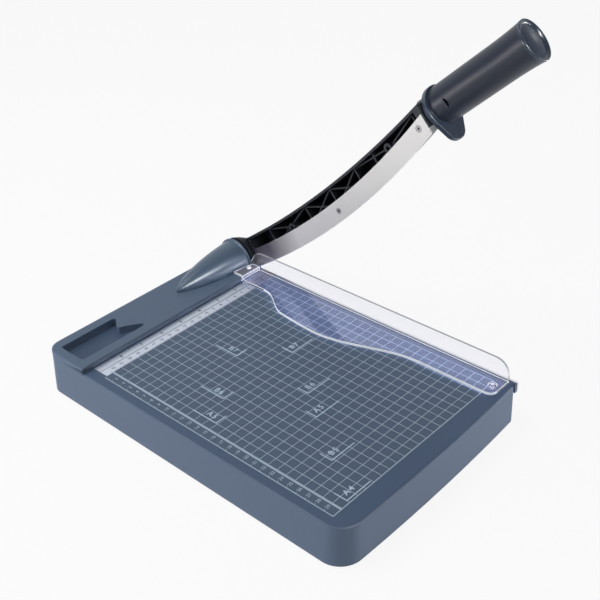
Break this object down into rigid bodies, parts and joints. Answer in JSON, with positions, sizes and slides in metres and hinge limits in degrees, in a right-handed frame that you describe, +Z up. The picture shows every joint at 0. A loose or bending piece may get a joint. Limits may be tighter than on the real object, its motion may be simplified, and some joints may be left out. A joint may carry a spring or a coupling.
{
  "type": "paper cutter",
  "caption": "Guillotine paper cutter: moulded board with a head bar and tray, clear guard, and a curved blade on a ribbed arm that swings about a bolt.",
  "frame": {"origin": "bottom centre of the whole object's box, on the plane of the rubber feet", "axes": "+X from the board's left rim towards the cutting edge and the arm, +Y from the user's side towards the head bar and the pivot, +Z up"},
  "size_m": [0.31, 0.3814, 0.3505],
  "materials": {
    "slate_plastic": "moulded slate grey plastic, fine satin texture",
    "cover_plastic": "dark moulded plastic",
    "black_plastic": "black moulded plastic, satin",
    "grip_plastic": "dark slate soft-touch plastic, satin sheen",
    "trim_plastic": "slate plastic, satin",
    "clear_plastic": "clear plastic with a faint violet tint, glossy",
    "ruler_metal": "brushed and printed with scale marks",
    "blade_steel": "ground along its length",
    "fixed_steel": "ground on its upper edge",
    "fastener_steel": "zinc plated",
    "block_metal": "die-cast, unpolished",
    "bush_brass": "turned",
    "foot_rubber": "matt"
  },
  "bodies": {
    "base": {"base_housing": "slate_plastic", "bottom_cover": "cover_plastic", "rubber_feet": "foot_rubber", "cover_screws": "fastener_steel", "ruler_strip": "ruler_metal", "fixed_blade": "fixed_steel", "fixed_blade_screws": "fastener_steel", "guard": "clear_plastic", "guard_screws": "fastener_steel", "pivot_cowl": "slate_plastic", "cowl_screws": "fastener_steel", "pivot_block": "block_metal", "block_screws": "fastener_steel", "pivot_bolt": "fastener_steel", "pivot_nut": "fastener_steel", "thrust_washer": "bush_brass", "spring_washer": "fastener_steel"},
    "arm": {"arm_beam": "black_plastic", "hub_disc": "black_plastic", "pivot_bush": "bush_brass", "pivot_cap": "slate_plastic", "blade": "blade_steel", "blade_screws": "fastener_steel", "hand_guard": "trim_plastic", "grip": "grip_plastic", "end_cap": "trim_plastic"}
  },
  "joints": [
    {"name": "arm_hinge", "type": "hinge", "parent": "base", "child": "arm", "pos_m": [0.09205, 0.1627, 0.0489], "axis": [-1, 0, 0], "range_deg": [-42, 35]}
  ]
}
